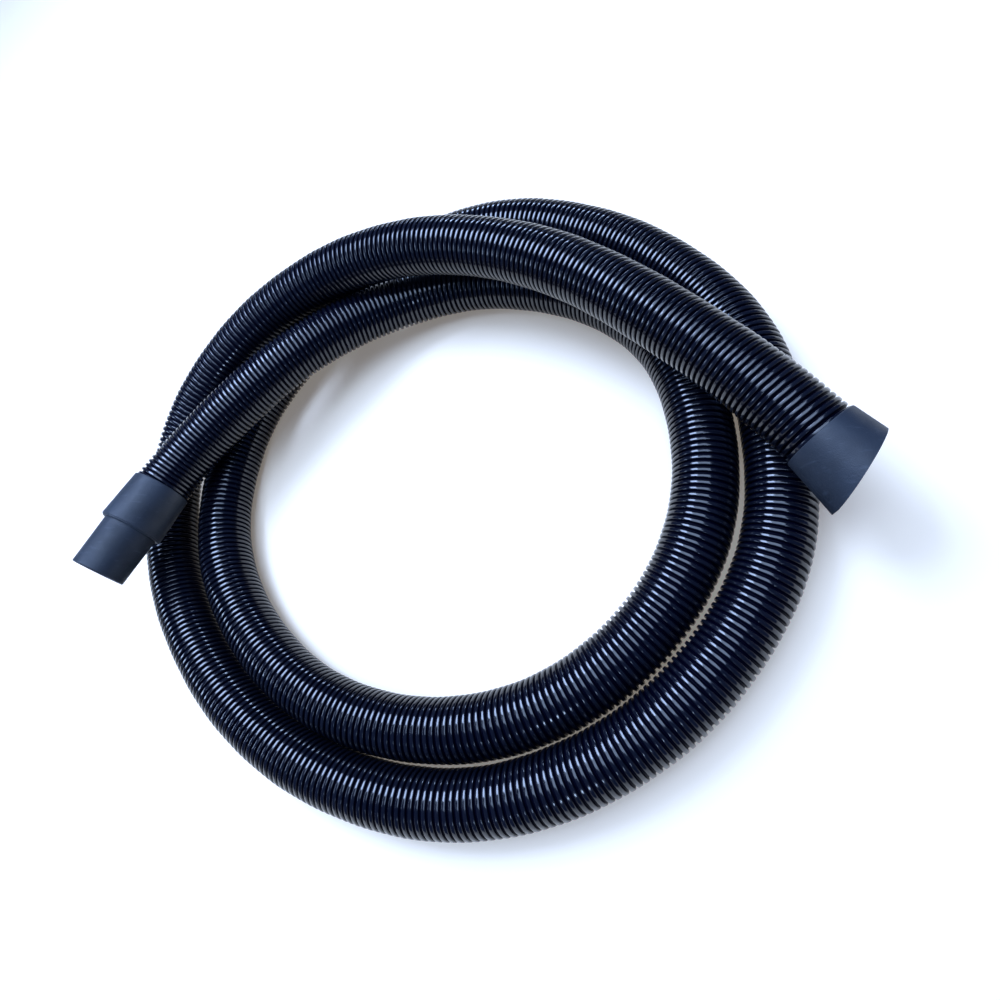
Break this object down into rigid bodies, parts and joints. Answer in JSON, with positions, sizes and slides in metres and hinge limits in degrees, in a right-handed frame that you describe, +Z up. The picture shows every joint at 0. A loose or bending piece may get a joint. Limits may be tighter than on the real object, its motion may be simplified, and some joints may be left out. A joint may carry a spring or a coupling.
{
  "type": "vacuum hose",
  "caption": "Spiral-ribbed pool vacuum hose in a loose coil, with a swivelling nozzle cuff on one end and a flared slip-on cuff on the other.",
  "frame": {"origin": "on the floor under the middle of the coil's outline", "axes": "+Z up from the floor, +X along the coil's longer side towards the flared cuff, +Y along its shorter side"},
  "size_m": [0.6217, 0.5444, 0.1153],
  "materials": {
    "hose_wall": "glossy moulded EVA, smooth round ribs",
    "cuff": "satin moulded plastic with faint scuffs",
    "washer": "natural acetal",
    "seal": "matt rubber"
  },
  "bodies": {
    "hose": {"hose": "hose_wall", "swivel_collar": "cuff", "thrust_washer": "washer", "retaining_ring": "cuff", "flared_cuff": "cuff"},
    "nozzle": {"swivel_nozzle": "cuff", "nozzle_seal": "seal"}
  },
  "joints": [
    {"name": "nozzle_swivel", "type": "hinge", "parent": "hose", "child": "nozzle", "pos_m": [-0.26, -0.045, 0.083], "axis": [-0.2872, -0.9333, 0.2154], "continuous": true}
  ]
}
